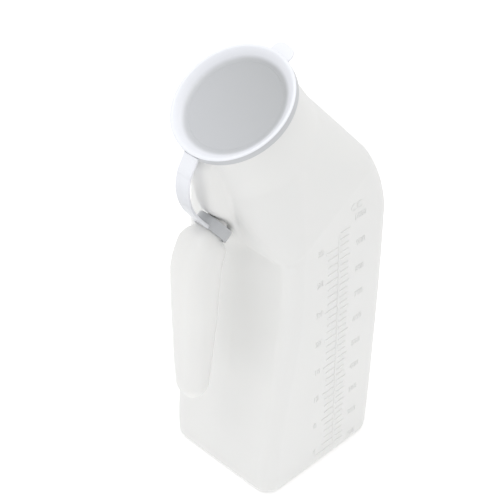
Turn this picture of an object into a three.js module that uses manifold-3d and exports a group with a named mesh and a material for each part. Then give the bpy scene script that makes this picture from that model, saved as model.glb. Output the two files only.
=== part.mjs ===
// A one-litre male urinal: a blow-moulded bottle with a bent neck and a hooked grip, and a
// snap-on cap that a moulded strap ties to a ring round the root of the grip.
// Millimetres, +Z up. The origin is the middle of the flat base, and the front is -Y.
import * as THREE from 'three';
import { mergeVertices } from 'three/addons/utils/BufferGeometryUtils.js';
import Module from 'manifold-3d';

const wasm = await Module();
wasm.setup();

// ---------- driving dimensions ----------
const WALL = 1.4;

const BASE_HALF_WIDTH = 39.2;      // body, across X at the base
const TOP_HALF_WIDTH = 41;         // body, across X at the shoulder
const BASE_FRONT = -42;            // Y of the front face at the base
const HAND_SCOOP = 16.2;           // how far the front face leans back behind the grip
const SCOOP_FOOT = 6;
const SCOOP_HEAD = 135;
const BASE_BACK = 42.1;            // Y of the back face at the base
const BACK_SWELL = 6.9;            // how far the back face leans out by the shoulder
const SWELL_POWER = 0.45;
const BODY_CORNER = 10;            // radius of the upright corners
const SHOULDER_CORNER = 14;
const HEEL_RADIUS = 4;
const HEEL_SHARES = [0.05, 0.3, 0.6, 1];                        // square roots of the heel's heights
const COLUMN_HEIGHTS = [10, 22, 42, 62, 82, 102, 122, 140];     // level sections of the body

const TILT = THREE.MathUtils.degToRad(31.16);   // neck and mouth lean towards the front
const CREASE = { y: -28.6, z: 154 };            // centre of the bend, in the fold under the neck
const CREASE_RADIUS = 2.8;
const NECK_CREASE_RADIUS = 1.9;
const BEND_REACH = 78.4;                        // from the fold to the outside of the bend
const BEND_SHARES = [0, 0.25, 0.5, 0.75, 1];

const MOUTH = { y: -27.3, z: 239.2 };           // centre of the cap's top plane, on the neck axis
const MOUTH_RADIUS = 30.6;
const NECK_FRONT_TAPER = 0.19;
const NECK_BACK_TAPER = 0.042;
const NECK_ROUNDNESS = 1.1;                     // corner radius wanted at the mouth, in mouth radii
const ROUNDING_PACE = 1.7;                      // how early on the way up the corners get there
const NECK_TOP = -5;                            // distances along the neck axis from MOUTH
const NECK_SHARES = [0.2, 0.4, 0.6, 0.8, 1];
const BEAD_RADIUS = 31.5;
const BEAD_FOOT = -5.4;
const BEAD_RAMP = 0.4;
const BEAD_STEP = 0.1;                          // bead's foot stands this far off the neck
const LIP_TOP = -3.4;
const LIP_ROUND = 0.3;
const LIP_BORE = 30.3;
const LIP_FLARE = 0.5;                          // how far the bore widens past the lip
const LIP_SLOPE = { foot: 1.9, head: 0.6, past: 2 };   // inside of the lip, below and above LIP_TOP

const ARM = { y: -38.7, z: 172.9, fall: THREE.MathUtils.degToRad(35) };  // where the grip starts
const SEAM_GAP = 0.3;
const NECK_SEAM = 150.5;           // height where the body stops and the neck starts

const RING_AT = 4.1;               // along the arm from its start
const RING_BAND = 6.4;
const RING_WALL = 1.4;
const RING_PLAY = 0.7;

const STRAP_WIDTH = 9.5;
const STRAP_THICK = 1.4;
const FOLD_ROOM = 1;               // strap left clear on each side of a fold line

const CAP_RADIUS = 33.3;
const CAP_SKIRT = 4.5;
const CAP_RIM_THICK = 3.1;
const RIM_ROUND = 0.9;             // rounding of the rim's outer edge
const RIM_EASE = 0.3;              // its middle point, in from both faces
const RIM_INNER = 30;
const RIM_INNER_ROUND = { out: 0.7, down: 0.5 };
const SKIRT_EDGE = { out: 0.2, up: 0.3 };
const PANEL_RADIUS = 27.2;
const PANEL_DEPTH = 4.1;
const PANEL_THICK = 1;
const PANEL_FILLET = { out: 0.5, up: 0.4 };
const PLUG_RADIUS = 28.7;
const PLUG_CHAMFER = 0.5;
const PLUG_FLARE = 0.9;            // how much wider the plug is where it meets the rim
const SKIRT_BORE = 32.1;
const CAP_FACETS = 64;
const TAB_WIDTH = 14;
const TAB_REACH = 6;
const TAB_THICK = 1.2;
const TAB_DROP = 0.9;              // tab's top face below the rim's
const TAB_ROOT = 1;                // how far the tab runs into the rim
const TAB_CORNER = 5.6;
const TAB_TURN = THREE.MathUtils.degToRad(7.5);   // off straight behind the strap, towards +X
const TAB_FACETS = 6;

const MARK_Y = 11.7;               // upright line of the graduation
const MARK_FIRST = 3.8;            // height of the 100 mark
const MARK_STEP = 17.4;            // height of each further 100
const MARK_COUNT = 10;
const MARK_RAISE = 0.4;
const MARK_WIDTH = 0.7;
const MARK_LENGTH = 7.8;
const OUNCE_LENGTH = 10;
const OUNCE_FIRST = 12.6;
const OUNCE_STEP = 19.9;
const OUNCE_COUNT = 8;

const CORNER_STEPS = 8;            // facets in a quarter turn of a wall section
const SLIVER = 0.01;               // least flat left on a section's side
const WELD = 1e-4;                 // points nearer than this are one point

// ---------- small helpers ----------
const mix = (a, b, t) => a + (b - a) * t;
const clamp01 = (t) => Math.min(1, Math.max(0, t));
const ease = (t) => { const c = clamp01(t); return c * c * (3 - 2 * c); };

/** Value of a table of [key, value] rows at a key, with straight lines between its rows. */
function along(table, at) {
  const next = table.findIndex(([key]) => key >= at);
  if (next < 0) return table[table.length - 1][1];
  if (next === 0) return table[0][1];
  const [k0, v0] = table[next - 1];
  const [k1, v1] = table[next];
  return mix(v0, v1, (at - k0) / (k1 - k0));
}

/**
 * One ring of points: a rounded rectangle in a plane that holds X and the direction
 * (0, cos turn, sin turn), reaching from `front` to `back` along that direction.
 */
function ring({ y, z, turn, half, front, back, radius }) {
  const middle = (front + back) / 2;
  const depth = (back - front) / 2;
  const r = Math.min(radius, half - SLIVER, depth - SLIVER);
  const points = [];
  for (let i = 0; i < 4 * CORNER_STEPS; i += 1) {
    const angle = ((i + 0.5) / CORNER_STEPS) * (Math.PI / 2);
    const x = Math.sign(Math.cos(angle)) * (half - r) + r * Math.cos(angle);
    const e = middle + Math.sign(Math.sin(angle)) * (depth - r) + r * Math.sin(angle);
    points.push(new THREE.Vector3(x, y + e * Math.cos(turn), z + e * Math.sin(turn)));
  }
  return points;
}

/** Closed skin through rings of equal count, with a fan over each end. */
function loft(sections) {
  const rings = sections.map(ring);
  const count = rings[0].length;
  const points = rings.flat();
  const middleOf = (list) => {
    const sum = list.reduce((whole, p) => whole.add(p), new THREE.Vector3());
    return sum.divideScalar(count);
  };
  const foot = points.push(middleOf(rings[0])) - 1;
  const head = points.push(middleOf(rings[rings.length - 1])) - 1;
  const top = (rings.length - 1) * count;
  const faces = [];
  for (let j = 0; j < count; j += 1) {
    const k = (j + 1) % count;
    for (let i = 0; i < top; i += count) {
      faces.push(i + j, i + k, i + count + k, i + j, i + count + k, i + count + j);
    }
    faces.push(foot, k, j, head, top + j, top + k);
  }
  const geometry = new THREE.BufferGeometry().setFromPoints(points);
  geometry.setIndex(faces);
  return geometry;
}

/** Closed three.js geometry as a body for joins and cuts. */
function solid(geometry) {
  const bare = geometry.clone();
  bare.deleteAttribute('normal');
  bare.deleteAttribute('uv');
  const merged = mergeVertices(bare, WELD);
  return new wasm.Manifold(new wasm.Mesh({
    numProp: 3,
    vertProperties: Float32Array.from(merged.attributes.position.array),
    triVerts: Uint32Array.from(merged.index.array),
  }));
}

/** Body back to three.js geometry. */
function geometryOf(body) {
  const { vertProperties, triVerts } = body.getMesh();
  const geometry = new THREE.BufferGeometry();
  geometry.setAttribute('position', new THREE.BufferAttribute(vertProperties, 3));
  geometry.setIndex(new THREE.BufferAttribute(triVerts, 1));
  geometry.computeVertexNormals();
  return geometry;
}

const joined = (bodies) => bodies.reduce((whole, body) => whole.add(body));

/** Box between two corners. */
function block(low, high) {
  const size = low.map((value, i) => high[i] - value);
  const middle = low.map((value, i) => (high[i] + value) / 2);
  return new THREE.BoxGeometry(...size).translate(...middle);
}

/** Turns a shape drawn in (Y, Z) and extruded from 0 to width into place, centred on X = 0. */
function acrossX(shape, width) {
  const geometry = new THREE.ExtrudeGeometry(shape, { depth: width, bevelEnabled: false, steps: 1 });
  const toRow = new THREE.Matrix4().makeBasis(
    new THREE.Vector3(0, 1, 0), new THREE.Vector3(0, 0, 1), new THREE.Vector3(1, 0, 0),
  );
  return geometry.applyMatrix4(toRow).translate(-width / 2, 0, 0);
}

// ---------- the bottle ----------
const bodyHalf = (z) => mix(BASE_HALF_WIDTH, TOP_HALF_WIDTH, ease(z / SCOOP_HEAD));
const scoop = (z) => ease((z - SCOOP_FOOT) / (SCOOP_HEAD - SCOOP_FOOT));
const bodyFront = (z) => BASE_FRONT + HAND_SCOOP * scoop(z);
const bodyBack = (z) => BASE_BACK + BACK_SWELL * (Math.max(z, 0) / SCOOP_HEAD) ** SWELL_POWER;

/** Level section of the body. `skin` is how far inside the outer face the section lies. */
function bodySection(z, skin) {
  const short = Math.max(0, HEEL_RADIUS - (z - skin));
  const tuck = HEEL_RADIUS - Math.sqrt(HEEL_RADIUS ** 2 - short ** 2);
  const inset = skin + tuck;
  return {
    y: 0, z, turn: 0,
    half: bodyHalf(z) - inset,
    front: bodyFront(z) + inset,
    back: bodyBack(z) - inset,
    radius: BODY_CORNER - skin,
  };
}

/** Section through the fold under the neck, t from 0 (level) to 1 (square to the neck). */
function bendSection(t, skin) {
  return {
    ...CREASE, turn: TILT * t,
    half: TOP_HALF_WIDTH - skin,
    front: mix(CREASE_RADIUS, NECK_CREASE_RADIUS, t) + skin,
    back: BEND_REACH - skin,
    radius: mix(BODY_CORNER, SHOULDER_CORNER, t) - skin,
  };
}

const neckAxis = { y: -Math.sin(TILT), z: Math.cos(TILT) };
const onNeck = (s) => ({ y: MOUTH.y + neckAxis.y * s, z: MOUTH.z + neckAxis.z * s });
const creaseStation = (CREASE.y - MOUTH.y) * neckAxis.y + (CREASE.z - MOUTH.z) * neckAxis.z;

/** Section square to the neck, at distance s from the cap's top plane. */
function neckSection(s, skin) {
  const fall = NECK_TOP - s;
  const share = fall / (NECK_TOP - creaseStation);
  const rounded = clamp01((1 - share) * ROUNDING_PACE);
  return {
    ...onNeck(s), turn: TILT,
    half: mix(MOUTH_RADIUS, TOP_HALF_WIDTH, share) - skin,
    front: -(MOUTH_RADIUS + NECK_FRONT_TAPER * fall) + skin,
    back: MOUTH_RADIUS + NECK_BACK_TAPER * fall - skin,
    radius: mix(SHOULDER_CORNER, MOUTH_RADIUS * NECK_ROUNDNESS, rounded) - skin,
  };
}

const roundSection = (s, r) => ({ ...onNeck(s), turn: TILT, half: r, front: -r, back: r, radius: r });

/** Whole skin from base to lip, `skin` inside the outer face. `lip` is its last few sections. */
function bottleSkin(skin, lip) {
  const heel = HEEL_SHARES.map((t) => bodySection(skin + HEEL_RADIUS * t * t, skin));
  const column = COLUMN_HEIGHTS.map((z) => bodySection(z, skin));
  const bend = BEND_SHARES.map((t) => bendSection(t, skin));
  const neck = NECK_SHARES.map((t) => neckSection(mix(creaseStation, NECK_TOP - 1, t), skin));
  return solid(loft([...heel, ...column, ...bend, ...neck, ...lip]));
}

const outerSkin = bottleSkin(0, [
  roundSection(BEAD_FOOT, MOUTH_RADIUS + BEAD_STEP),
  roundSection(BEAD_FOOT + BEAD_RAMP, BEAD_RADIUS),
  roundSection(LIP_TOP - LIP_ROUND, BEAD_RADIUS),
  roundSection(LIP_TOP, BEAD_RADIUS - LIP_ROUND),
]);
const innerSkin = bottleSkin(WALL, [
  roundSection(LIP_TOP - LIP_SLOPE.foot, MOUTH_RADIUS + 2 * BEAD_STEP - WALL),
  roundSection(LIP_TOP - LIP_SLOPE.head, LIP_BORE),
  roundSection(LIP_TOP + LIP_SLOPE.past, LIP_BORE + LIP_FLARE),
]);

// The web carries the grip: a hollow rib down the front of the neck to the fold.
const WEB_FRONT = [
  [151, -24.6], [155, -26.4], [161, -30], [166, -33.3], [171, -36.8], [175, -39.8],
  [179, -43.4], [183, -46.6], [187, -48.9], [192.7, -50.2], [206, -52.3], [215, -53.5],
];
const WEB_HALF = [[151, 8.4], [161, 9.2], [179, 9], [192.7, 8.5], [206, 8], [215, 7]];
const WEB_ROOT = 20;               // how far the web reaches back into the neck
const WEB_ROUNDNESS = 0.85;        // its corner radius, as a share of its half width

/** The web, `skin` inside its outer face. */
function webSkin(skin) {
  const heights = WEB_FRONT.map(([z]) => z);
  const last = heights.length - 1;
  const sections = heights.map((z, i) => ({
    y: 0, turn: 0,
    z: z + (i === 0 ? skin : 0) - (i === last ? skin : 0),
    half: along(WEB_HALF, z) - skin,
    front: along(WEB_FRONT, z) + skin,
    back: along(WEB_FRONT, z) + WEB_ROOT,
    radius: along(WEB_HALF, z) * WEB_ROUNDNESS - skin,
  }));
  return solid(loft(sections));
}

// The grip: an arm that falls forwards from the web, then a hanging handle with a round end.
const armAxis = { y: -Math.cos(ARM.fall), z: -Math.sin(ARM.fall) };
const onArm = (s) => new THREE.Vector3(0, ARM.y + armAxis.y * s, ARM.z + armAxis.z * s);
const GRIP_FOOT_Z = 66.5;
const ARM_POINTS = [-12, -5, 2, 9];   // along the arm; the first lie inside the web
const gripPath = new THREE.CatmullRomCurve3([
  ...ARM_POINTS.map(onArm),
  new THREE.Vector3(0, -50.6, 161.4), new THREE.Vector3(0, -53.8, 154),
  new THREE.Vector3(0, -55.4, 141), new THREE.Vector3(0, -57, 116),
  new THREE.Vector3(0, -58.8, 91), new THREE.Vector3(0, -60.4, GRIP_FOOT_Z),
], false, 'centripetal');
const gripLength = gripPath.getLength();
const ARM_NECK = 20.4;             // length of the slim neck that the strap ring sits on
// Distance along the path, then half width across X, and half depth.
const GRIP_HALF = [
  [0, 7.4], [ARM_NECK, 7.4], [21.4, 9], [23, 10.3], [26, 11.4], [40, 11.8],
  [70, 11], [100, 9.6], [gripLength, 8.2],
];
const GRIP_DEPTH = [
  [0, 7.4], [ARM_NECK, 7.4], [21.4, 8.8], [23, 9.9], [26, 10.8], [40, 10.8],
  [70, 10], [100, 8.8], [gripLength, 7.4],
];
const GRIP_STATIONS = [
  0, 7, 14, ARM_NECK, 21.4, 23, 26, 29, 32, 35, 38, 42, 50, 60, 70, 80, 90, 100, 106,
];
const GRIP_ROUND_END = 9;
const END_SHARES = [0, 0.35, 0.62, 0.82, 0.95];
const END_CLEAR = 2;               // no other station this near the round end
const GRIP_CORNER = 6.6;
const END_CORNER = 8.25;

/** Tube along the grip's path with a round end, `skin` inside its outer face. */
function gripSkin(skin) {
  const start = gripLength - GRIP_ROUND_END;
  const round = END_SHARES.map((t) => start + GRIP_ROUND_END * t);
  const stations = [...GRIP_STATIONS.filter((at) => at < start - END_CLEAR), ...round];
  const sections = stations.map((at) => {
    const into = clamp01((at - start) / GRIP_ROUND_END);
    const close = Math.sqrt(1 - into * into);
    const share = Math.min(at, gripLength - skin) / gripLength;
    const point = gripPath.getPointAt(share);
    const heading = gripPath.getTangentAt(share);
    const half = (along(GRIP_HALF, at) - skin) * close;
    const depth = (along(GRIP_DEPTH, at) - skin) * close;
    return {
      y: point.y, z: point.z, turn: Math.atan2(-heading.y, heading.z),
      half, front: -depth, back: depth, radius: mix(GRIP_CORNER, END_CORNER, into) - skin,
    };
  });
  return solid(loft(sections));
}

const CUT_REACH = 200;

/** Everything forward of a plane square to the arm, at distance s along it. */
function aheadOfArm(s) {
  const box = new THREE.BoxGeometry(CUT_REACH, CUT_REACH, CUT_REACH).translate(0, 0, CUT_REACH / 2);
  const start = onArm(s);
  box.rotateX(Math.PI / 2 + ARM.fall);
  return solid(box.translate(0, start.y, start.z));
}

const gripOuter = gripSkin(0);
const gripInner = gripSkin(WALL);
const hollow = joined([innerSkin, webSkin(WALL), gripInner]);

/** Raised bars of the graduation, on the +X face: one upright line and a row each side of it. */
function graduation() {
  const bars = [];
  const bar = (y0, y1, z0, z1) => {
    const x = Math.min(bodyHalf(z0), bodyHalf(z1));
    bars.push(solid(block([x - WALL / 2, y0, z0], [x + MARK_RAISE, y1, z1])));
  };
  const column = MARK_STEP / 2;
  const last = MARK_FIRST + MARK_STEP * (MARK_COUNT - 1);
  for (let z = MARK_FIRST + HEEL_RADIUS; z < last; z += column) {
    bar(MARK_Y - MARK_WIDTH / 2, MARK_Y + MARK_WIDTH / 2, z, Math.min(last, z + column));
  }
  for (let i = 1; i < MARK_COUNT; i += 1) {
    const z = MARK_FIRST + MARK_STEP * i;
    bar(MARK_Y, MARK_Y + MARK_LENGTH, z - MARK_WIDTH / 2, z + MARK_WIDTH / 2);
  }
  for (let i = 0; i < OUNCE_COUNT; i += 1) {
    const z = OUNCE_FIRST + OUNCE_STEP * i;
    bar(MARK_Y - OUNCE_LENGTH, MARK_Y, z - MARK_WIDTH / 2, z + MARK_WIDTH / 2);
  }
  return joined(bars);
}

const bottle = joined([outerSkin, webSkin(0), gripOuter.subtract(aheadOfArm(0))])
  .subtract(hollow)
  .add(graduation());

/** Everything between two heights. */
const slab = (low, high) => solid(block([-CUT_REACH, -CUT_REACH, low], [CUT_REACH, CUT_REACH, high]));
const bottleBody = bottle.intersect(slab(-CUT_REACH, NECK_SEAM - SEAM_GAP / 2));
const bottleNeck = bottle.intersect(slab(NECK_SEAM + SEAM_GAP / 2, 2 * CUT_REACH));
const grip = gripOuter.intersect(aheadOfArm(SEAM_GAP))
  .subtract(webSkin(-SEAM_GAP))
  .subtract(gripInner);

// ---------- the strap ----------
const upFromArm = { y: -Math.sin(ARM.fall), z: Math.cos(ARM.fall) };
const ringHalf = GRIP_HALF[0][1] + RING_PLAY + RING_WALL;
const ringDepth = GRIP_DEPTH[0][1] + RING_PLAY + RING_WALL;

/** Outline of a rounded rectangle centred on the origin. */
function roundedOutline(half, depth, radius, path) {
  const quarter = Math.PI / 2;
  const corners = [[1, 1, 0], [-1, 1, 1], [-1, -1, 2], [1, -1, 3]];
  for (const [sx, sy, turn] of corners) {
    const start = turn * quarter;
    path.absarc(sx * (half - radius), sy * (depth - radius), radius, start, start + quarter);
  }
  path.closePath();
  return path;
}

const RIBBON_STEPS = 8;

/** Ribbon along a stretch of a curve in the YZ plane. */
function ribbon(curve, from, to) {
  const sides = [[], []];
  for (let i = 0; i <= RIBBON_STEPS; i += 1) {
    const at = mix(from, to, i / RIBBON_STEPS);
    const point = curve.getPointAt(at);
    const heading = curve.getTangentAt(at);
    for (const [side, list] of [[-1, sides[0]], [1, sides[1]]]) {
      list.push(new THREE.Vector2(
        point.y + (side * heading.z * STRAP_THICK) / 2,
        point.z - (side * heading.y * STRAP_THICK) / 2,
      ));
    }
  }
  return acrossX(new THREE.Shape([...sides[0], ...sides[1].reverse()]), STRAP_WIDTH);
}

const ringCentre = onArm(RING_AT);
const ringRise = ringDepth - RING_WALL / 2;
const ringTop = new THREE.Vector3(
  0, ringCentre.y + upFromArm.y * ringRise, ringCentre.z + upFromArm.z * ringRise,
);
const strapPath = new THREE.CatmullRomCurve3([
  ringTop,
  new THREE.Vector3(0, -52.2, 181.4),
  new THREE.Vector3(0, -56.2, 186.2),
  new THREE.Vector3(0, -59.4, 192.6),
  new THREE.Vector3(0, -61.4, 202.8),
  new THREE.Vector3(0, -60, 211.6),
  new THREE.Vector3(0, -55.6, 219.4),
], false, 'centripetal');
const strapLength = strapPath.getLength();
const room = FOLD_ROOM / strapLength;
const ROOT_FOLD = 0.26;            // fold lines, as shares of the strap's length
const MID_FOLD = 0.63;

const ringShape = roundedOutline(ringHalf, ringDepth, GRIP_CORNER + RING_WALL, new THREE.Shape());
ringShape.holes.push(roundedOutline(
  ringHalf - RING_WALL, ringDepth - RING_WALL, GRIP_CORNER, new THREE.Path(),
));
const bandGeometry = new THREE.ExtrudeGeometry(ringShape, {
  depth: RING_BAND, bevelEnabled: false, steps: 1, curveSegments: CORNER_STEPS,
});
bandGeometry.translate(0, 0, -RING_BAND / 2)
  .rotateX(Math.PI / 2 + ARM.fall)
  .translate(0, ringCentre.y, ringCentre.z);
const strapRing = solid(bandGeometry).add(solid(ribbon(strapPath, 0, ROOT_FOLD - room)));
const strapLower = ribbon(strapPath, ROOT_FOLD + room, MID_FOLD - room);
const strapUpper = ribbon(strapPath, MID_FOLD + room, 1 - room);

// ---------- the cap ----------
const plugFoot = -PANEL_DEPTH - PANEL_THICK;
/** From the middle of the underside, out round the skirt and rim, to the middle of the panel. */
const capProfile = [
  [0, plugFoot],
  [PLUG_RADIUS - PLUG_CHAMFER, plugFoot],
  [PLUG_RADIUS, plugFoot + PLUG_CHAMFER],
  [PLUG_RADIUS + PLUG_FLARE, -CAP_RIM_THICK],
  [SKIRT_BORE, -CAP_RIM_THICK],
  [SKIRT_BORE, -CAP_SKIRT],
  [CAP_RADIUS - SKIRT_EDGE.out, -CAP_SKIRT],
  [CAP_RADIUS, -CAP_SKIRT + SKIRT_EDGE.up],
  [CAP_RADIUS, -RIM_ROUND],
  [CAP_RADIUS - RIM_EASE, -RIM_EASE],
  [CAP_RADIUS - RIM_ROUND, 0],
  [RIM_INNER + RIM_INNER_ROUND.out, 0],
  [RIM_INNER, -RIM_INNER_ROUND.down],
  [PANEL_RADIUS + PANEL_FILLET.out, -PANEL_DEPTH + PANEL_FILLET.up],
  [PANEL_RADIUS, -PANEL_DEPTH],
  [0, -PANEL_DEPTH],
].map(([r, h]) => new THREE.Vector2(r, h));
const capDisc = new THREE.LatheGeometry(capProfile, CAP_FACETS).rotateX(Math.PI / 2);

const tabShape = new THREE.Shape();
const tabSide = TAB_WIDTH / 2;
const tabRoot = CAP_RADIUS - TAB_ROOT;
const tabBend = CAP_RADIUS + TAB_REACH - TAB_CORNER;
tabShape.moveTo(-tabSide, tabRoot);
tabShape.lineTo(tabSide, tabRoot);
tabShape.absarc(tabSide - TAB_CORNER, tabBend, TAB_CORNER, 0, Math.PI / 2);
tabShape.absarc(-tabSide + TAB_CORNER, tabBend, TAB_CORNER, Math.PI / 2, Math.PI);
tabShape.closePath();
const tab = new THREE.ExtrudeGeometry(tabShape, {
  depth: TAB_THICK, bevelEnabled: false, curveSegments: TAB_FACETS,
}).translate(0, 0, -TAB_THICK - TAB_DROP).rotateZ(-TAB_TURN);
const cap = solid(capDisc).add(solid(tab));

// ---------- materials and assembly ----------
const plastic = (color, roughness) => () => (
  new THREE.MeshStandardMaterial({ color, roughness, metalness: 0 })
);
const natural = plastic(0xebebea, 0.5);        // blow-moulded high-density polyethylene
const clearWhite = plastic(0xe6e9ee, 0.35);    // injection-moulded low-density polyethylene

function part(name, geometry, material) {
  const mesh = new THREE.Mesh(geometry, material);
  mesh.name = name;
  return mesh;
}

const group = new THREE.Group();
group.add(part('bottle_body', geometryOf(bottleBody), natural()));
group.add(part('bottle_neck', geometryOf(bottleNeck), natural()));
group.add(part('grip_handle', geometryOf(grip), natural()));
group.add(part('strap_ring', geometryOf(strapRing), clearWhite()));
group.add(part('strap_lower', strapLower, clearWhite()));
group.add(part('strap_upper', strapUpper, clearWhite()));

const capMesh = part('snap_cap', geometryOf(cap), clearWhite());
capMesh.rotation.x = TILT;
capMesh.position.set(0, MOUTH.y, MOUTH.z);
group.add(capMesh);

export default group;
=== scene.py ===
"""A one-litre urinal bottle with a snap cap tied on by a strap. Metres, +Z up, grip towards -Y."""

import math

import bpy
import numpy as np
from mathutils import Matrix, Vector


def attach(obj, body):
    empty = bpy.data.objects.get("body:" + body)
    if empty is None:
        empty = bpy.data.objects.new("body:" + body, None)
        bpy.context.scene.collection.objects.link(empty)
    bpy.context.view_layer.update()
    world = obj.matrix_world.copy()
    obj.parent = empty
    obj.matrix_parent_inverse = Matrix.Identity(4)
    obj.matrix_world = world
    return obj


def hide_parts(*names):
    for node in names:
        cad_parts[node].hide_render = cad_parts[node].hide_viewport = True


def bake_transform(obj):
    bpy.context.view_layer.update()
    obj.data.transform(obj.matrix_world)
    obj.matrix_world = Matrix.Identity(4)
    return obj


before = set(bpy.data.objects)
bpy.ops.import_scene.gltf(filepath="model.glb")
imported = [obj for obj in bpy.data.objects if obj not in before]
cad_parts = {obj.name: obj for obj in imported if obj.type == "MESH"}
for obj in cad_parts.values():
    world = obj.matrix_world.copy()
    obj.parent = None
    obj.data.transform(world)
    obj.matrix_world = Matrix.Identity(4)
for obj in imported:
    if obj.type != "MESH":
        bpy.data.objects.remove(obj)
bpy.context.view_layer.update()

# ---- Camera ----
# It stands off the corner between the grip and the graduated side, and looks down on the cap
# through a long lens.
AROUND, DOWN, TIP = math.radians(45.77), math.radians(38.05), math.radians(-0.49)
STAND = (0.48966, -0.49254, 0.67581)
SENSOR, LENS = 36.0, 118.63

camera_data = bpy.data.cameras.new("camera")
camera_data.sensor_width = SENSOR
camera_data.lens = LENS
camera = bpy.data.objects.new("camera", camera_data)
camera.matrix_world = (
    Matrix.Translation(STAND)
    @ Matrix.Rotation(AROUND, 4, "Z")
    @ Matrix.Rotation(math.pi / 2 - DOWN, 4, "X")
    @ Matrix.Rotation(TIP, 4, "Z")
)
bpy.context.scene.collection.objects.link(camera)
bpy.context.scene.camera = camera

# ---- Floor and light ----
# A wide white painted board, even light from all round, and three broad soft lights high above
# the bottle: one over it, one behind it and one in front.
FLOOR_SIZE, FLOOR_GLOW = 14.0, 0.2
SKY = 0.71
LIT_SPOT = (0, 0, 0.14)


def srgb(code):
    """Linear colour of an sRGB hex code: c / 12.92 near black, ((c + 0.055) / 1.055) ^ 2.4 above."""
    shown = np.array([int(code[i : i + 2], 16) for i in (0, 2, 4)]) / 255
    dark, light = shown / 12.92, ((shown + 0.055) / 1.055) ** 2.4
    return (*np.where(shown < 0.04045, dark, light), 1.0)


def add(tree, kind, links=None, **settings):
    """Adds a node with its settings. Each input is linked to the socket given, or set to the value."""
    made = tree.nodes.new(kind)
    for name, value in settings.items():
        setattr(made, name, value)
    for name, value in (links or {}).items():
        if isinstance(value, bpy.types.NodeSocket):
            tree.links.new(value, made.inputs[name])
        else:
            made.inputs[name].default_value = value
    return made


def blank_material(name):
    """A material with an empty node tree."""
    made = bpy.data.materials.new(name)
    made.use_nodes = True
    made.node_tree.nodes.clear()
    return made


def light(name, place, aim, size, watts):
    """A square area light at a place, turned to face the point it aims at."""
    data = bpy.data.lights.new(name, "AREA")
    data.size = size
    data.energy = watts
    made = bpy.data.objects.new(name, data)
    toward = Vector(aim) - Vector(place)
    made.matrix_world = Matrix.Translation(place) @ toward.to_track_quat("-Z", "Y").to_matrix().to_4x4()
    bpy.context.scene.collection.objects.link(made)


# White emulsion paint: flat, and so bright that the board shows no edge.
paint = blank_material("white_emulsion_paint")
tree = paint.node_tree
surface = add(tree, "ShaderNodeBsdfPrincipled", {"Base Color": srgb("fbfbfb"), "Roughness": 0.9,
    "Emission Color": srgb("ffffff"), "Emission Strength": FLOOR_GLOW})
add(tree, "ShaderNodeOutputMaterial", {"Surface": surface.outputs["BSDF"]})

reach = FLOOR_SIZE / 2
floor_mesh = bpy.data.meshes.new("floor")
corners = [(-reach, -reach, 0), (reach, -reach, 0), (reach, reach, 0), (-reach, reach, 0)]
floor_mesh.from_pydata(corners, [], [(0, 1, 2, 3)])
floor_mesh.materials.append(paint)
floor = bpy.data.objects.new("floor", floor_mesh)
bpy.context.scene.collection.objects.link(floor)

light("back_light", (0.25, 0.75, 1.3), LIT_SPOT, 0.9, 1.6)
light("front_light", (-0.35, -0.7, 1.5), LIT_SPOT, 0.9, 3.6)
light("top_light", (0.1, -0.1, 1.8), LIT_SPOT, 1.2, 5.8)
world = bpy.data.worlds.new("studio")
world.use_nodes = True
world.node_tree.nodes["Background"].inputs["Color"].default_value = srgb("ffffff")
world.node_tree.nodes["Background"].inputs["Strength"].default_value = SKY
bpy.context.scene.world = world
bpy.context.scene.view_settings.view_transform = "Standard"

# ---- Bottle ----
# One blow moulding in natural high-density polyethylene: a rounded square body, scooped at the
# front for the hand, a neck that leans forward from a fold, and a beaded mouth for the cap.
MM = 0.001
WALL = 1.4
BASE_HALF, TOP_HALF = 39.14, 40.94
FRONT_AT_BASE, HAND_SCOOP, SCOOP_FOOT, SCOOP_HEAD = -42.0, 16.2, 6.0, 135.0
BACK_AT_BASE, BACK_SWELL, SWELL_POWER = 42.06, 6.85, 0.45
BODY_CORNER, SHOULDER_CORNER, HEEL = 10.0, 14.0, 4.0
PUSH_UP = 1.2
TILT = math.radians(31.16)
CREASE_Y, CREASE_Z, BEND_REACH = -28.6, 154.0, 78.34
CREASE_RADIUS, NECK_CREASE_RADIUS = 2.8, 1.9
MOUTH_Y, MOUTH_Z, MOUTH_RADIUS, NECK_TOP = -27.3, 239.2, 30.6, -5.0
NECK_FRONT_TAPER, NECK_BACK_TAPER = 0.19, 0.042
MOUTH_CORNER, CORNERS_ROUND_BY = MOUTH_RADIUS * 1.1, 1.7
BEAD_RADIUS, LIP_BORE, LIP_TOP = 31.5, 30.3, -3.4
COLUMNS = 288
FLOOR_ROWS, HEEL_ROWS, BODY_ROWS, BEND_ROWS, NECK_ROWS = 14, 9, 80, 26, 64
FLOOR_MIDDLE, INSIDE_FINE = 0.03, 0.45


def ease(t):
    """0 below 0, 1 above 1, and 3 t^2 - 2 t^3 between."""
    t = np.clip(t, 0, 1)
    return t * t * (3 - 2 * t)


def mix(a, b, t):
    """The value a share t of the way from a to b."""
    return a + (b - a) * t


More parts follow.
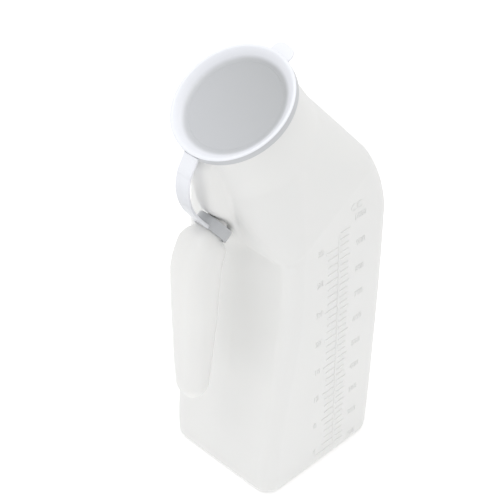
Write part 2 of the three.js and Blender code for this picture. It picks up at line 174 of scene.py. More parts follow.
def sections(rows, columns):
    """Points of rounded rectangles, one to a row (y, z, turn, half, front, back, radius).

    A ray leaves the middle of each at every angle, and stops at the straight side, or on the
    corner's circle where it is past both straight sides. The plane of the row leans back by its
    turn: across is X, and deep is (0, cos turn, sin turn) from (0, y, z).
    """
    y, z, turn, half, front, back, radius = (v[:, None] for v in np.asarray(rows, float).T)
    angle = (np.arange(columns) + 0.5) * 2 * np.pi / columns
    middle, deep = (front + back) / 2, (back - front) / 2
    corner = np.minimum(radius, np.minimum(half, deep))
    ray_x, ray_e = half * np.cos(angle), deep * np.sin(angle)
    straight = 1 / np.maximum(np.abs(np.cos(angle)), np.abs(np.sin(angle)))
    hub_x, hub_e = half - corner, deep - corner
    square = ray_x**2 + ray_e**2 + 1e-12
    along = np.abs(ray_x) * hub_x + np.abs(ray_e) * hub_e
    inside = along**2 - square * (hub_x**2 + hub_e**2 - corner**2)
    curved = (along + np.sqrt(np.maximum(inside, 0))) / square
    turned = (np.abs(ray_x) * straight > hub_x) & (np.abs(ray_e) * straight > hub_e)
    reach = np.where(turned, curved, straight)
    e = middle + ray_e * reach
    return np.stack([ray_x * reach, y + e * np.cos(turn), z + e * np.sin(turn)], axis=-1)


def rounded(corners, closed, steps=6):
    """Outline through corners (a, b, reach), each turned by the curve
    (1-t)^2 P_in + 2 t (1-t) P + t^2 P_out from `reach` before the corner to `reach` after it."""
    spots, reach = np.asarray(corners, float)[:, :2], np.asarray(corners, float)[:, 2:]
    before, after = np.roll(spots, 1, axis=0) - spots, np.roll(spots, -1, axis=0) - spots
    if not closed:
        before[0] = -after[0]
        after[-1] = -before[-1]
    before /= np.linalg.norm(before, axis=1, keepdims=True)
    after /= np.linalg.norm(after, axis=1, keepdims=True)
    t = np.linspace(0, 1, steps)[:, None, None]
    bent = (1 - t) ** 2 * (spots + before * reach) + 2 * t * (1 - t) * spots
    bent = bent + t**2 * (spots + after * reach)
    line = bent.transpose(1, 0, 2).reshape(-1, 2)
    keep = np.ones(len(line), bool)
    keep[1:] = np.linalg.norm(np.diff(line, axis=0), axis=1) > 1e-6
    return line[keep]


def surface_object(name, points, material, looped=False):
    """Object from a grid of points in millimetres, shape (rows, columns, 3). The columns close on
    themselves. The rows close too if looped, and otherwise a fan round the mean closes each end."""
    count, around = points.shape[:2]
    ids = np.arange(count * around).reshape(count, around)
    if looped:
        ids = np.vstack([ids, ids[:1]])
    beside = np.roll(ids, -1, axis=1)
    quads = np.stack([ids[:-1], beside[:-1], beside[1:], ids[1:]], axis=-1).reshape(-1, 4)
    spots, faces = points.reshape(-1, 3), quads.tolist()
    if not looped:
        foot, head = len(spots), len(spots) + 1
        spots = np.vstack([spots, points[0].mean(axis=0), points[-1].mean(axis=0)])
        faces += np.stack([np.full(around, foot), beside[0], ids[0]], axis=-1).tolist()
        faces += np.stack([np.full(around, head), ids[-1], beside[-1]], axis=-1).tolist()
    mesh = bpy.data.meshes.new(name)
    mesh.from_pydata(spots * MM, [], faces)
    mesh.shade_smooth()
    mesh.materials.append(material)
    made = bpy.data.objects.new(name, mesh)
    bpy.context.scene.collection.objects.link(made)
    return made


def body_half(z):
    """Half width across X: eases from the base's to the shoulder's."""
    return mix(BASE_HALF, TOP_HALF, ease(z / SCOOP_HEAD))


def on_neck(s):
    """(y, z) on the neck's axis, at a distance s from the cap's top plane."""
    return MOUTH_Y - s * math.sin(TILT), MOUTH_Z + s * math.cos(TILT)


def round_rows(s, radius):
    """Rows for circles of those radii, square to the neck's axis at the distances s."""
    y, z = on_neck(s)
    return np.column_stack([y, z, np.full_like(s, TILT), radius, -radius, radius, radius])


def shell_rows(skin, fine):
    """Rows from the middle of the floor to just under the bead, `skin` inside the outer face, with
    a share `fine` of the usual number of rows.

    The floor rises by (1 - k^2)^2 of the push-up at a share k of its half width, and the heel is
    a quarter circle. Up the body the front eases back and the back swells as (z / head)^power.
    Through the bend the plane turns about the crease, and up the neck all sides taper evenly.
    """
    heel = np.linspace(0, np.pi / 2, HEEL_ROWS)
    rise = HEEL * (1 - np.cos(heel))
    level = np.linspace(HEEL, CREASE_Z - skin, int(BODY_ROWS * fine))[1:]
    z = np.concatenate([rise, level]) + skin
    inset = skin + np.concatenate([HEEL * (1 - np.sin(heel)), np.zeros(len(level))])
    scoop = ease((z - SCOOP_FOOT) / (SCOOP_HEAD - SCOOP_FOOT))
    front = FRONT_AT_BASE + HAND_SCOOP * scoop + inset
    back = BACK_AT_BASE + BACK_SWELL * (z / SCOOP_HEAD) ** SWELL_POWER - inset
    flat, corner = np.zeros_like(z), np.full_like(z, BODY_CORNER - skin)
    body = np.column_stack([flat, z, flat, body_half(z) - inset, front, back, corner])

    k = np.linspace(FLOOR_MIDDLE, 1, int(FLOOR_ROWS * fine))[:-1, None]
    floor_rows = body[:1] * np.ones_like(k)
    floor_rows[:, 1:2] += PUSH_UP * (1 - k**2) ** 2
    middle = (floor_rows[:, 4:5] + floor_rows[:, 5:6]) / 2
    floor_rows[:, 3:4] *= k
    floor_rows[:, 4:6] = middle + (floor_rows[:, 4:6] - middle) * k
    floor_rows[:, 6:7] *= k

    t = np.linspace(0, 1, int(BEND_ROWS * fine))[1:]
    same = np.ones_like(t)
    bend = np.column_stack([
        CREASE_Y * same, CREASE_Z * same, TILT * t, (TOP_HALF - skin) * same,
        mix(CREASE_RADIUS, NECK_CREASE_RADIUS, t) + skin, (BEND_REACH - skin) * same,
        mix(BODY_CORNER, SHOULDER_CORNER, t) - skin,
    ])

    start = (CREASE_Z - MOUTH_Z) * math.cos(TILT) - (CREASE_Y - MOUTH_Y) * math.sin(TILT)
    s = np.linspace(start, NECK_TOP - 1, int(NECK_ROWS * fine))[1:]
    fall = NECK_TOP - s
    share = fall / (NECK_TOP - start)
    y, z = on_neck(s)
    corner = mix(SHOULDER_CORNER, MOUTH_CORNER, np.clip((1 - share) * CORNERS_ROUND_BY, 0, 1))
    neck = np.column_stack([
        y, z, np.full_like(s, TILT), mix(MOUTH_RADIUS, TOP_HALF, share) - skin,
        -(MOUTH_RADIUS + NECK_FRONT_TAPER * fall) + skin,
        MOUTH_RADIUS + NECK_BACK_TAPER * fall - skin, corner - skin,
    ])
    return np.vstack([floor_rows, body, bend, neck])


# Web: the hollow rib down the front of the neck that carries the grip. Height, then its front.
WEB_FRONT = np.array([
    [140, -16.0], [149, -22.5], [155, -26.4], [161, -30.0], [166, -33.3], [171, -36.8], [175, -39.8],
    [179, -43.4], [183, -46.6], [187, -48.9], [192.7, -50.2], [206, -52.3], [213, -53.2],
    [216, -52.4], [219, -48.0],
])
WEB_HALF, WEB_CORNER, WEB_BLEND, WEB_SIDE_SLOPE, WEB_SOFTENED = 9.0, 7.65, 7.0, 3, 2.5
WEB_LOW, WEB_HIGH = 142, 222


def raise_web(points):
    """Front of the skin, drawn forward to the web. The web's face is a circular arc across X with
    steep sides, and joins the neck by the smooth minimum min(a, b) - h^2 k / 4, h = 1 - |a - b| / k."""
    x, y, z = points[..., 0], points[..., 1], points[..., 2]
    off = np.maximum(np.abs(x) - (WEB_HALF - WEB_CORNER), 0)
    arc = WEB_CORNER - np.sqrt(np.maximum(WEB_CORNER**2 - off**2, 0))
    side = WEB_SIDE_SLOPE * np.maximum(np.abs(x) - WEB_HALF, 0)
    front = np.interp(z, *WEB_FRONT.T)
    for shift in (-WEB_SOFTENED, WEB_SOFTENED):
        front = front + np.interp(z + shift, *WEB_FRONT.T)
    web = front / 3 + arc + side
    near = np.maximum(1 - np.abs(y - web) / WEB_BLEND, 0)
    drawn = np.minimum(y, web) - near**2 * WEB_BLEND / 4
    ahead = (np.arange(points.shape[1]) >= points.shape[1] // 2)[None, :]
    points[..., 1] = np.where(ahead & (z > WEB_LOW) & (z < WEB_HIGH), drawn, y)
    return points


# Natural high-density polyethylene, blow moulded. The eye gets a milky white that light sinks
# into, an orange-peel grain from the blasted mould, slow waves where the wall varies, and the
# hair-line ridge of the mould's parting round the middle.
GRAIN, GRAIN_DEPTH = 0.0011, 0.00008
WAVE, WAVE_DEPTH = 0.032, 0.0006
CLOUD = 0.05
PARTING_HALF, PARTING_RISE = 0.00035, 0.00012

hdpe = blank_material("natural_hdpe_blow_moulded")
tree = hdpe.node_tree
place = add(tree, "ShaderNodeTexCoord").outputs["Object"]
cloud = add(tree, "ShaderNodeTexNoise", {"Vector": place, "Scale": 1 / CLOUD, "Detail": 2.0})
tint = add(tree, "ShaderNodeMix", {"Factor": cloud.outputs["Fac"], "A": srgb("f0f0ee"),
    "B": srgb("ebebea")}, data_type="RGBA")
grain = add(tree, "ShaderNodeTexNoise", {"Vector": place, "Scale": 1 / GRAIN, "Detail": 3.0})
polish = add(tree, "ShaderNodeMapRange", {"Value": grain.outputs["Fac"],
    "To Min": 0.4, "To Max": 0.52})
wave = add(tree, "ShaderNodeTexNoise", {"Vector": place, "Scale": 1 / WAVE, "Detail": 1.0})
axes = add(tree, "ShaderNodeSeparateXYZ", {"Vector": place})
from_middle = add(tree, "ShaderNodeMath", {0: axes.outputs["X"]}, operation="ABSOLUTE")
parting = add(tree, "ShaderNodeMapRange", {"Value": from_middle.outputs[0], "From Min": 0.0,
    "From Max": PARTING_HALF, "To Min": 1.0, "To Max": 0.0}, interpolation_type="SMOOTHSTEP")
waved = add(tree, "ShaderNodeBump", {"Height": wave.outputs["Fac"], "Strength": 0.5,
    "Distance": WAVE_DEPTH})
grained = add(tree, "ShaderNodeBump", {"Height": grain.outputs["Fac"], "Strength": 0.35,
    "Distance": GRAIN_DEPTH, "Normal": waved.outputs["Normal"]})
ridged = add(tree, "ShaderNodeBump", {"Height": parting.outputs[0], "Strength": 0.5,
    "Distance": PARTING_RISE, "Normal": grained.outputs["Normal"]})
surface = add(tree, "ShaderNodeBsdfPrincipled", {"Base Color": tint.outputs["Result"],
    "Roughness": polish.outputs[0], "IOR": 1.54, "Normal": ridged.outputs["Normal"],
    "Subsurface Weight": 0.2, "Subsurface Radius": (1.0, 0.95, 0.9), "Subsurface Scale": 0.003})
add(tree, "ShaderNodeOutputMaterial", {"Surface": surface.outputs["BSDF"]})

outside = raise_web(sections(shell_rows(0, 1), COLUMNS))
bead = rounded([
    (NECK_TOP - 0.7, MOUTH_RADIUS, 0.2), (NECK_TOP - 0.3, BEAD_RADIUS, 0.3),
    (LIP_TOP, BEAD_RADIUS, 0.45), (LIP_TOP, LIP_BORE, 0.35),
    (LIP_TOP - 1.9, MOUTH_RADIUS - WALL, 0.5), (NECK_TOP - 1, MOUTH_RADIUS - WALL, 0.1),
], closed=False)
mouth = sections(round_rows(*bead.T), COLUMNS)
inside = sections(shell_rows(WALL, INSIDE_FINE)[::-1], COLUMNS)
bottle = surface_object("bottle", np.concatenate([outside, mouth, inside]), hdpe)
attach(bottle, "bottle")
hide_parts("bottle_body", "bottle_neck")

# ---- Grip ----
# A hollow hook blown in one with the bottle: a slim arm falls from the web, then widens into a
# handle that hangs clear of the scooped front and ends in a rounded tip.
ARM_Y, ARM_Z, ARM_FALL, ARM_HALF, ARM_ROOT_HALF = -38.7, 172.9, math.radians(35), 7.4, 5.4
ARM_SPOTS = [-12, -5, 2, 9]
GRIP_ROUND_END, GRIP_CORNER, END_CORNER, GRIP_SOFTENED = 9.0, 6.8, 8.25, 1.6
GRIP_BEND = [
    [-50.6, 161.4], [-53.8, 154.0], [-55.4, 141.0], [-57.0, 116.0], [-58.8, 91.0], [-60.4, 66.5],
]
GRIP_ROWS, END_ROWS, GRIP_COLUMNS, END_CLOSED = 150, 16, 160, 0.995
# Distance along the hook, half width across X, and half depth. Its first stretch is inside the web.
GRIP_SIZE = np.array([
    [0, ARM_ROOT_HALF, ARM_ROOT_HALF], [11.2, ARM_ROOT_HALF, ARM_ROOT_HALF],
    [15, ARM_HALF, ARM_HALF], [19.4, ARM_HALF, ARM_HALF], [21.4, 9.0, 8.8], [23, 10.3, 9.9],
    [26, 11.4, 10.8], [40, 11.8, 10.8], [70, 11.0, 9.95], [100, 9.6, 8.75], [124.5, 8.2, 7.35],
])


def on_arm(s):
    """(y, z) on the arm's axis, at a distance s from where it leaves the web."""
    s = np.asarray(s, float)
    return np.stack([ARM_Y - s * math.cos(ARM_FALL), ARM_Z - s * math.sin(ARM_FALL)], axis=-1)


def smooth_path(spots, share):
    """Points and unit headings (y, z) at shares of the way along a smooth line through the spots,
    and the sum of its chords. Between neighbours it is the cubic whose end slopes are those of the
    parabola through three spots, with chord length as the parameter."""
    spots = np.asarray(spots, float)
    chord = np.linalg.norm(np.diff(spots, axis=0), axis=1)[:, None]
    at = np.concatenate([[0], np.cumsum(chord)])
    slope = np.diff(spots, axis=0) / chord
    inner = (slope[:-1] * chord[1:] + slope[1:] * chord[:-1]) / (chord[:-1] + chord[1:])
    first, last = 1.5 * slope[:1] - 0.5 * inner[:1], 1.5 * slope[-1:] - 0.5 * inner[-1:]
    slopes = np.vstack([first, inner, last])
    want = np.asarray(share, float) * at[-1]
    i = np.clip(np.searchsorted(at, want, side="right") - 1, 0, len(chord) - 1)
    h, t = chord[i], ((want - at[i]) / chord[i, 0])[:, None]
    p0, p1, m0, m1 = spots[i], spots[i + 1], slopes[i] * h, slopes[i + 1] * h
    point = (2 * t**3 - 3 * t**2 + 1) * p0 + (t**3 - 2 * t**2 + t) * m0
    point = point + (3 * t**2 - 2 * t**3) * p1 + (t**3 - t**2) * m1
    head = (6 * t**2 - 6 * t) * (p0 - p1) + (3 * t**2 - 4 * t + 1) * m0
    head = head + (3 * t**2 - 2 * t) * m1
    return point, head / np.linalg.norm(head, axis=1, keepdims=True), at[-1]


def softened(table, at, spread):
    """Straight-line table of two or more columns, averaged from `spread` before to after."""
    shifts = np.linspace(-spread, spread, 9)[:, None] + at
    return [np.interp(shifts, table[:, 0], column).mean(axis=0) for column in table[:, 1:].T]


grip_spots = np.vstack([on_arm(ARM_SPOTS), GRIP_BEND])
grip_length = smooth_path(grip_spots, [0.0])[2]
closing = np.linspace(0, END_CLOSED, END_ROWS)
at = np.linspace(0, grip_length - GRIP_ROUND_END, GRIP_ROWS)
at = np.concatenate([at[:-1], grip_length - GRIP_ROUND_END * np.cos(closing * np.pi / 2)])
into = np.clip((at - grip_length + GRIP_ROUND_END) / GRIP_ROUND_END, 0, 1)
close = np.sqrt(np.maximum(1 - into**2, 0))
half, deep = softened(GRIP_SIZE, at, GRIP_SOFTENED)
point, head, _ = smooth_path(grip_spots, at / grip_length)
turn = np.arctan2(-head[:, 0], head[:, 1])
corner = mix(GRIP_CORNER, END_CORNER, into)
rows = np.column_stack([point, turn, half * close, -deep * close, deep * close, corner])
grip = surface_object("grip", sections(rows, GRIP_COLUMNS), hdpe)
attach(grip, "bottle")
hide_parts("grip_handle")

# ---- Graduation ----
# Cut into the mould and so raised on the graduated side, in the bottle's own plastic: an upright
# line, cubic centimetres on one side of it and fluid ounces on the other, with their numerals. The
# marks lean forward a little as they rise, and three short ones divide each step in four.
UPRIGHT_Y, UPRIGHT_FOOT, UPRIGHT_HEAD, UPRIGHT_LEAN = 10.9, 5.0, 160.5, 0.0145
CC_FIRST, CC_STEP, CC_LONG, CC_SHORT = 3.8, 17.4, 8.4, 7.2
OZ_FIRST, OZ_STEP, OZ_LONG, OZ_SHORT, BASE_LINE = 12.6, 19.9, 10.0, 8.1, 15.0
CC_MARKS, OZ_BELOW_FIRST, OZ_MARKS = 37, 1, 30
RIDGE_WIDTH, RIDGE_RISE, RIDGE_SUNK, RIDGE_GAP = 1.15, 0.47, 0.04, 0.9
CC_LABEL_Y, CC_LABEL_FIRST, CC_LABEL_STEP = 25.4, 6.3, 17.6
OZ_LABEL_Y, OZ_LABEL_FIRST, OZ_LABEL_STEP = -4.8, 11.3, 20.5
TOP_LABEL_Y, TOP_LABEL_Z, UNIT_Y, UNIT_Z = 24.2, 164.8, 21.1, 171.6
NUMERAL_HEIGHT, UNIT_HEIGHT, CAPITAL_SHARE, NARROWED = 3.5, 4.6, 0.69, 0.9
NUMERAL_HALF, NUMERAL_ROUND, NUMERAL_MIDDLE = 0.06, 0.12, 0.05


def ridges(ends):
    """Rounded ridges on the graduated face, from ends (y0, z0, y1, z1). Across a ridge its rise is
    sqrt(1 - v^2), and along it sqrt(1 - u^8), so that it is domed and its tips are blunt. Each
    point moves forward by the lean times its height."""
    ends = np.asarray(ends, float)
    u, v = np.linspace(-1, 1, 17), np.sin(np.linspace(-1, 1, 9) * np.pi / 2)
    start, run = ends[:, None, :2], (ends[:, 2:] - ends[:, :2])[:, None]
    side = run[..., ::-1] * [1, -1] / np.linalg.norm(run, axis=-1, keepdims=True)
    tip = np.sin(u * np.pi / 2)
    spine = start + run * (tip[:, None] + 1) / 2
    flat = spine[:, :, None] + side[:, :, None] * v[:, None] * RIDGE_WIDTH / 2
    rise = RIDGE_RISE * np.sqrt(1 - tip**8)[:, None] * np.sqrt(1 - v**2)
    x = body_half(flat[..., 1]) - RIDGE_SUNK + rise
    flat[..., 0] -= UPRIGHT_LEAN * flat[..., 1]
    return np.concatenate([x[..., None], flat], axis=-1)


def label_mesh(text, y, z, height):
    """Raised characters centred on (y, z) of the graduated face: vertices in millimetres, faces."""
    curve = bpy.data.curves.new("label", "FONT")
    curve.body, curve.size = text, height / CAPITAL_SHARE
    curve.align_x, curve.align_y = "CENTER", "CENTER"
    curve.extrude, curve.bevel_depth, curve.bevel_resolution = NUMERAL_HALF, NUMERAL_ROUND, 1
    curve.resolution_u = 4
    holder = bpy.data.objects.new("label", curve)
    bpy.context.scene.collection.objects.link(holder)
    bpy.context.view_layer.update()
    shown = holder.evaluated_get(bpy.context.evaluated_depsgraph_get())
    mesh = bpy.data.meshes.new_from_object(shown)
    spots = np.empty(len(mesh.vertices) * 3)
    mesh.vertices.foreach_get("co", spots)
    spots = spots.reshape(-1, 3)
    up = z + spots[:, 1]
    out = body_half(up) + NUMERAL_MIDDLE + spots[:, 2]
    placed = np.column_stack([out, y + spots[:, 0] * NARROWED, up])
    faces = [tuple(face.vertices) for face in mesh.polygons]
    bpy.data.objects.remove(holder)
    bpy.data.curves.remove(curve)
    bpy.data.meshes.remove(mesh)
    return placed, faces


quarter = np.arange(CC_MARKS)
cc_z = CC_FIRST + CC_STEP * quarter / 4
cc_long = np.where(quarter % 4 == 0, CC_LONG, CC_SHORT)
cc_ends = np.column_stack([np.full(CC_MARKS, UPRIGHT_Y + RIDGE_GAP), cc_z, UPRIGHT_Y + cc_long, cc_z])
ounce = np.arange(OZ_MARKS) - OZ_BELOW_FIRST
oz_z = OZ_FIRST + OZ_STEP * ounce / 4
oz_long = np.where(ounce % 4 == 0, OZ_LONG, OZ_SHORT)
oz_long[0] = BASE_LINE
oz_ends = np.column_stack([UPRIGHT_Y - oz_long, oz_z, np.full(OZ_MARKS, UPRIGHT_Y - RIDGE_GAP), oz_z])
upright = [UPRIGHT_Y, UPRIGHT_FOOT, UPRIGHT_Y, UPRIGHT_HEAD]
bars = ridges(np.vstack([cc_ends[1:], oz_ends, upright]))
bar, long, wide = bars.shape[:3]
ids = np.arange(bar * long * wide).reshape(bar, long, wide)
quads = np.stack([ids[:, :-1, :-1], ids[:, 1:, :-1], ids[:, 1:, 1:], ids[:, :-1, 1:]], axis=-1)
spots, faces = [bars.reshape(-1, 3)], quads.reshape(-1, 4).tolist()
labels = [(str(100 * (n + 1)), CC_LABEL_Y, CC_LABEL_FIRST + CC_LABEL_STEP * n) for n in range(9)]
labels += [("1000", TOP_LABEL_Y, TOP_LABEL_Z), ("CC", UNIT_Y, UNIT_Z)]
labels += [(str(4 * (n + 1)), OZ_LABEL_Y, OZ_LABEL_FIRST + OZ_LABEL_STEP * n) for n in range(8)]
for text, y, z in labels:
    placed, drawn = label_mesh(text, y, z, UNIT_HEIGHT if text == "CC" else NUMERAL_HEIGHT)
    base = sum(len(part) for part in spots)
    spots.append(placed)
    faces += [tuple(base + v for v in face) for face in drawn]
mesh = bpy.data.meshes.new("graduation")
mesh.from_pydata(np.vstack(spots) * MM, [], faces)
mesh.shade_smooth()
mesh.set_sharp_from_angle(angle=math.radians(50))
mesh.materials.append(hdpe)
graduation = bpy.data.objects.new("graduation", mesh)
bpy.context.scene.collection.objects.link(graduation)
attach(graduation, "bottle")

# ---- Strap ring ----
# The closed band at the lower end of the cap's strap, in the cap's softer plastic. It is pushed
# up over the grip and sits loose round the slim arm.
RING_AT, RING_BAND, RING_WALL, RING_PLAY = 4.1, 6.4, 1.4, 0.7
RING_HALF = ARM_HALF + RING_PLAY + RING_WALL / 2
# Of these, the second is how grey the whole band is painted, as painted shadow.
RING_COLUMNS, RING_PAINTED_SHADOW, RING_EDGE = 128, 0.85, 0.5

# Low-density polyethylene, injection moulded. The eye gets a cooler white than the bottle's, a
# smoother and shinier skin, and a grey mixed into the colour as painted shade: the dark hollow seen
# through the thin panel, painted shadow on the ring and lower strap, and painted shade on the skirt.
FINE_GRAIN, FINE_GRAIN_DEPTH = 0.0008, 0.00005

ldpe = blank_material("white_ldpe_injection_moulded")
tree = ldpe.node_tree
place = add(tree, "ShaderNodeTexCoord").outputs["Object"]
painted_shade = add(tree, "ShaderNodeAttribute", attribute_name="painted_shade", attribute_type="GEOMETRY")
# The second, grey colour is painted shade, mixed in as far as the vertex attribute asks.
tint = add(tree, "ShaderNodeMix", {"Factor": painted_shade.outputs["Fac"], "A": srgb("f1f3f9"),
    "B": srgb("b3b5b7")}, data_type="RGBA")
grain = add(tree, "ShaderNodeTexNoise", {"Vector": place, "Scale": 1 / FINE_GRAIN, "Detail": 2.0})
polish = add(tree, "ShaderNodeMapRange", {"Value": grain.outputs["Fac"],
    "To Min": 0.26, "To Max": 0.36})
grained = add(tree, "ShaderNodeBump", {"Height": grain.outputs["Fac"], "Strength": 0.25,
    "Distance": FINE_GRAIN_DEPTH})
surface = add(tree, "ShaderNodeBsdfPrincipled", {"Base Color": tint.outputs["Result"],
    "Roughness": polish.outputs[0], "IOR": 1.51, "Normal": grained.outputs["Normal"],
    "Subsurface Weight": 0.15, "Subsurface Radius": (0.95, 1.0, 1.0), "Subsurface Scale": 0.002})
add(tree, "ShaderNodeOutputMaterial", {"Surface": surface.outputs["BSDF"]})


def set_painted_shade(piece, values):
    """Painted shade at each vertex, 0 to 1, that greys the material: shadow, or the dark hollow seen
    through thin plastic.
    """
    found = piece.data.attributes.new("painted_shade", "FLOAT", "POINT")
    found.data.foreach_set("value", np.asarray(values, np.float32))


around, thick = RING_BAND / 2, RING_WALL / 2
band = rounded([(-around, thick, RING_EDGE), (around, thick, RING_EDGE),
    (around, -thick, RING_EDGE), (-around, -thick, RING_EDGE)], closed=True)
across = RING_HALF + band[:, 1]
turn = np.full(len(band), math.pi / 2 + ARM_FALL)
corner = GRIP_CORNER + RING_WALL / 2 + band[:, 1]
rows = np.column_stack([on_arm(RING_AT + band[:, 0]), turn, across, -across, across, corner])
ring = surface_object("strap_ring_band", sections(rows, RING_COLUMNS), ldpe, looped=True)
# The whole band is painted grey: painted shadow of the neck and cap above it.
set_painted_shade(ring, np.full(len(ring.data.vertices), RING_PAINTED_SHADOW))
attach(ring, "bottle")

# ---- Strap ----
# A flat tongue moulded in one with the cap and the ring. It bows forward from the ring to the
# cap's rim, and is built in three stretches, cut at two shares of its length.
STRAP_WIDTH, STRAP_THICK, ROOT_THICK, ROOT_RUN, STRAP_EDGE = 9.5, 1.4, 2.0, 7, 0.55
STRAP_ROWS, LOW_CUT, HIGH_CUT = 60, 0.43, 0.78
# Painted shadow of the cap on the strap: how grey, the height below which it is full, and its fade.
STRAP_PAINTED_SHADOW, SHADOW_BELOW, SHADOW_FADE = 0.45, 190, 26
RING_FRONT = 2.4
ring_top = on_arm(RING_AT + RING_FRONT)
ring_top = ring_top + RING_HALF * np.array([-math.sin(ARM_FALL), math.cos(ARM_FALL)])
STRAP_BOW = [[-52.6, 181.2], [-56.2, 186.2], [-59.4, 192.6], [-61.4, 202.8], [-60.0, 211.6],
    [-55.6, 219.4], [-54.9, 220.8]]
strap_spots = np.vstack([ring_top, STRAP_BOW])


def ribbon(first, last):
    """Stretch of the strap between two shares of its length: a rounded rectangle carried along
    the bowed line, square to it, a little thicker towards the ring."""
    share = np.linspace(first, last, STRAP_ROWS)
    point, head, length = smooth_path(strap_spots, share)
    thick = (STRAP_THICK + (ROOT_THICK - STRAP_THICK) * ease(1 - share * length / ROOT_RUN)) / 2
    half = STRAP_WIDTH / 2
    outline = rounded([(-half, -1, STRAP_EDGE), (half, -1, STRAP_EDGE), (half, 1, STRAP_EDGE),
        (-half, 1, STRAP_EDGE)], closed=True)
    n = outline[:, 1] * thick[:, None]
    across = np.broadcast_to(outline[:, 0], n.shape)
    normal = np.stack([head[:, 1], -head[:, 0]], axis=-1)
    face = point[:, None] + n[..., None] * normal[:, None]
    return np.concatenate([across[..., None], face], axis=-1)


lower = surface_object("strap_root", ribbon(0.0, LOW_CUT), ldpe)
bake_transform(lower)
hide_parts("strap_ring", "strap_lower")
middle = surface_object("strap_middle", ribbon(LOW_CUT, HIGH_CUT), ldpe)
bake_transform(middle)
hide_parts("strap_upper")
upper = surface_object("strap_head", ribbon(HIGH_CUT, 1.0), ldpe)
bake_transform(upper)
# Painted shadow: the strap is greyer low down, fading out upwards over a short span.
for piece in (lower, middle, upper):
    spots = np.empty(len(piece.data.vertices) * 3)
    piece.data.vertices.foreach_get("co", spots)
    set_painted_shade(piece, STRAP_PAINTED_SHADOW * (1 - ease((spots[2::3] / MM - SHADOW_BELOW) / SHADOW_FADE)))

# ---- Snap cap ----
# A shallow lid that snaps over the beaded mouth: a rim that slopes in to a thin sunken panel, a
# plug under it that fits the bore, a short skirt outside, and a rounded tab at the back to lift it
# by. The panel and the skirt are painted greyer than the rim: on the panel it is painted shade for
# the dark hollow seen through the thin plastic, darker towards the tab as painted shading, and on
# the skirt it is painted shade under the rim.
CAP_RADIUS, CAP_SKIRT, RIM_THICK, RIM_INNER = 33.3, 4.5, 3.1, 31.9
PANEL_RADIUS, PANEL_DEPTH, PANEL_THICK, PLUG_RADIUS, SKIRT_BORE = 27.4, 4.1, 1.0, 28.7, 32.1
PLUG_TAPER, GROOVE_RADIUS, GROOVE_HALF, GROOVE_DEPTH = 0.9, 25.1, 0.2, 0.12
LID_MIDDLE, PANEL_HALFWAY, LID_COLUMNS = 0.4, 14.0, 224
# How strongly the panel, darkest towards the tab, and the skirt are painted with shade.
PANEL_SHADE_LOW, PANEL_SHADE_HIGH, DARKEST_TURN = 0.72, 0.98, 0.5
PANEL_FADE_PAST, PANEL_FADE = 2.2, 3.2
SKIRT_PAINTED_SHADE, SKIRT_SKIN, SKIRT_TOP = 0.75, 0.1, -0.6
TAB_HALF, TAB_REACH, TAB_THICK, TAB_DROP, TAB_TURN = 7.0, 6.0, 1.2, 0.9, math.radians(7.5)
TAB_ROOT, TAB_CORNER, TAB_EDGE = 1.5, 5.8, 0.6

profile = rounded([
    (LID_MIDDLE, -PANEL_DEPTH - PANEL_THICK, 0), (PLUG_RADIUS, -PANEL_DEPTH - PANEL_THICK, 0.6),
    (PLUG_RADIUS + PLUG_TAPER, -RIM_THICK, 0.2), (SKIRT_BORE, -RIM_THICK, 0.25),
    (SKIRT_BORE, -CAP_SKIRT, 0.15), (CAP_RADIUS, -CAP_SKIRT, 0.35), (CAP_RADIUS, 0, 0.7),
    (RIM_INNER, 0, 0.6), (PANEL_RADIUS, -PANEL_DEPTH, 1.9),
    (GROOVE_RADIUS + GROOVE_HALF, -PANEL_DEPTH, 0.1),
    (GROOVE_RADIUS, -PANEL_DEPTH - GROOVE_DEPTH, 0.05),
    (GROOVE_RADIUS - GROOVE_HALF, -PANEL_DEPTH, 0.1), (PANEL_HALFWAY, -PANEL_DEPTH, 0.5),
    (LID_MIDDLE, -PANEL_DEPTH, 0),
], closed=False)
radius, depth = profile[:, :1], profile[:, 1:]
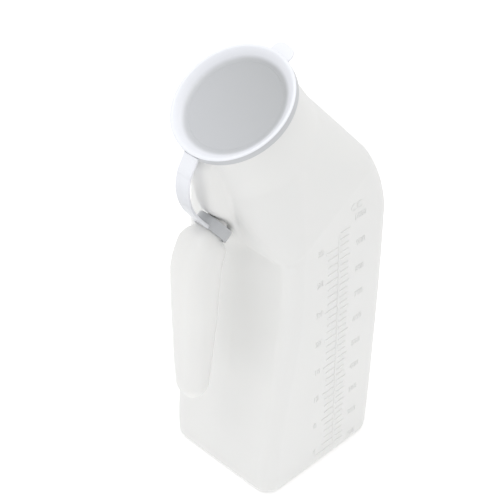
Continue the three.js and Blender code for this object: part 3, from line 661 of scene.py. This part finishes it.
lid = surface_object("cap", sections(round_rows(profile[:, 1], profile[:, 0]), LID_COLUMNS), ldpe)
on_top = np.arange(len(profile))[:, None] > len(profile) / 2
# Painted shade on the lid: grey on the skirt, and on the panel and foot of its slope, darker towards
# the tab.
skirt_shade = SKIRT_PAINTED_SHADE * ((radius > CAP_RADIUS - SKIRT_SKIN) & (depth < SKIRT_TOP))
around = (np.arange(LID_COLUMNS) + 0.5) * 2 * np.pi / LID_COLUMNS
panel_shade = ease((PANEL_RADIUS + PANEL_FADE_PAST - radius) / PANEL_FADE) * on_top
shade_toward_tab = 0.5 + 0.5 * radius / PANEL_RADIUS * np.sin(around + DARKEST_TURN)
lid_painted_shade = panel_shade * mix(PANEL_SHADE_LOW, PANEL_SHADE_HIGH, shade_toward_tab) + skirt_shade
middles = [0.0, (PANEL_SHADE_LOW + PANEL_SHADE_HIGH) / 2]
set_painted_shade(lid, np.concatenate([lid_painted_shade.ravel(), middles]))

tab_end = CAP_RADIUS + TAB_REACH
tab_start = CAP_RADIUS - TAB_ROOT
tongue = rounded([(-TAB_HALF, tab_start, 0.2), (TAB_HALF, tab_start, 0.2),
    (TAB_HALF, tab_end, TAB_CORNER), (-TAB_HALF, tab_end, TAB_CORNER)], closed=True, steps=14)
edge = rounded([(TAB_EDGE, -TAB_DROP - TAB_THICK, 0.0), (0, -TAB_DROP - TAB_THICK, 0.5),
    (0, -TAB_DROP, 0.5), (TAB_EDGE, -TAB_DROP, 0.0)], closed=False)
hub = np.array([0, (tab_start + tab_end) / 2])
shrink = 1 - edge[:, :1, None] / TAB_HALF
flat = hub + (tongue - hub) * shrink
cos, sin = math.cos(TAB_TURN), math.sin(TAB_TURN)
aside = flat[..., 0] * cos + flat[..., 1] * sin
back = flat[..., 1] * cos - flat[..., 0] * sin
y, z = on_neck(edge[:, 1:2])
spots = np.stack([aside, y + back * math.cos(TILT), z + back * math.sin(TILT)], axis=-1)
tab = surface_object("cap_tab", spots, ldpe)
for piece in (lid, tab):
    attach(piece, "cap")
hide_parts("snap_cap")
